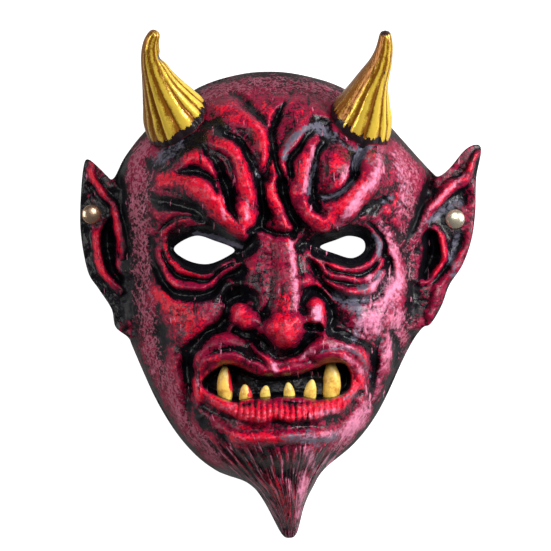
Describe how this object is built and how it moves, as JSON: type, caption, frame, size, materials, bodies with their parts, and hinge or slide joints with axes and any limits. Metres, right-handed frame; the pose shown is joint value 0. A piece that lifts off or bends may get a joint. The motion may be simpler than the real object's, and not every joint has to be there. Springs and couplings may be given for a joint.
{
  "type": "latex devil mask",
  "caption": "Hollow latex devil face mask with a scowling brow, fanged open mouth, pointed ears and beard, gold horns and ear rivets.",
  "frame": {"origin": "bottom centre of the box round the mask as it lies face up on its back rim", "axes": "+Z out of the face, +Y from the beard to the horns, +X to the viewer's right"},
  "size_m": [0.1934, 0.244, 0.0731],
  "materials": {
    "latex_red": "satin latex, black base dry-brushed with crimson and grey-pink",
    "horn_gold": "gold paint over black, worn back in the flutes",
    "rivet_brass": "polished pale brass"
  },
  "bodies": {
    "root": {"mask_shell": "latex_red", "horn_left": "horn_gold", "horn_right": "horn_gold", "rivet_left": "rivet_brass", "rivet_right": "rivet_brass"}
  },
  "joints": []
}
